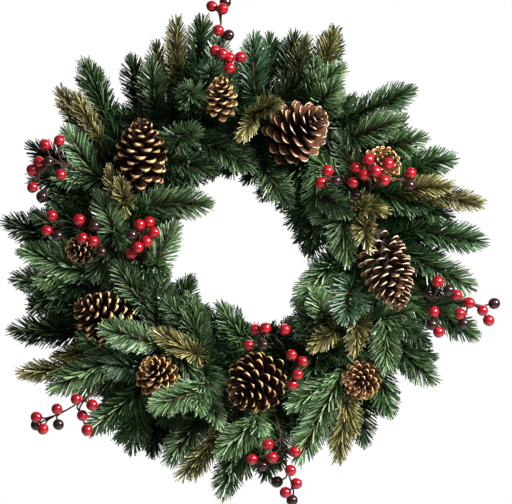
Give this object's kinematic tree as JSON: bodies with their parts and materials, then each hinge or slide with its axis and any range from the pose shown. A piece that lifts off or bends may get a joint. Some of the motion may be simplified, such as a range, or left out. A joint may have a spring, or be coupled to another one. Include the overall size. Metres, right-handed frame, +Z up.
{
  "type": "pine cone and berry wreath",
  "caption": "Round artificial pine wreath on a wire ring, dressed with gilded pine cones, olive-gold tips and sprays of glossy red and dark berries, hung flat against a wall or door",
  "frame": {"origin": "where the nail catches the ring: under the inner wire at the top, midway between the wires' front and back", "axes": "+Z up, +X to the right as seen from the front; the front faces -Y and the flat back of the ring's ties faces +Y"},
  "size_m": [0.6102, 0.1212, 0.6159],
  "materials": {
    "ring_wire": "satin green lacquer",
    "needles_green": "matt PVC strip, pine green",
    "needles_gold": "PVC strip, olive with a gold tint",
    "cone": "natural dry scales with gilded rims",
    "berries": "high gloss, red and dark maroon"
  },
  "bodies": {
    "root": {"berries_bottom": "berries", "berries_hole_edge": "berries", "berries_inner_left": "berries", "berries_left": "berries", "berries_lower_left": "berries", "berries_right": "berries", "berries_top": "berries", "berries_upper_left": "berries", "berries_upper_right": "berries", "cone_bottom": "cone", "cone_left": "cone", "cone_left_high": "cone", "cone_lower_left": "cone", "cone_lower_right": "cone", "cone_right": "cone", "cone_right_high": "cone", "cone_top": "cone", "cone_upper_left": "cone", "cone_upper_right": "cone", "gold_branch_01": "needles_gold", "gold_branch_02": "needles_gold", "gold_branch_03": "needles_gold", "gold_branch_04": "needles_gold", "gold_branch_05": "needles_gold", "gold_branch_06": "needles_gold", "gold_branch_07": "needles_gold", "gold_branch_08": "needles_gold", "gold_branch_09": "needles_gold", "gold_branch_10": "needles_gold", "gold_branch_11": "needles_gold", "green_branch_01": "needles_green", "green_branch_02": "needles_green", "green_branch_03": "needles_green", "green_branch_04": "needles_green", "green_branch_05": "needles_green", "green_branch_06": "needles_green", "green_branch_07": "needles_green", "green_branch_08": "needles_green", "green_branch_09": "needles_green", "green_branch_10": "needles_green", "green_branch_11": "needles_green", "green_branch_12": "needles_green", "green_branch_13": "needles_green", "green_branch_14": "needles_green", "green_branch_15": "needles_green", "green_branch_16": "needles_green", "green_branch_17": "needles_green", "green_branch_18": "needles_green", "green_branch_19": "needles_green", "green_branch_20": "needles_green", "green_branch_21": "needles_green", "green_branch_22": "needles_green", "green_branch_23": "needles_green", "green_branch_24": "needles_green", "green_branch_25": "needles_green", "green_branch_26": "needles_green", "green_branch_27": "needles_green", "green_branch_28": "needles_green", "green_branch_29": "needles_green", "ring_frame": "ring_wire"}
  },
  "joints": []
}
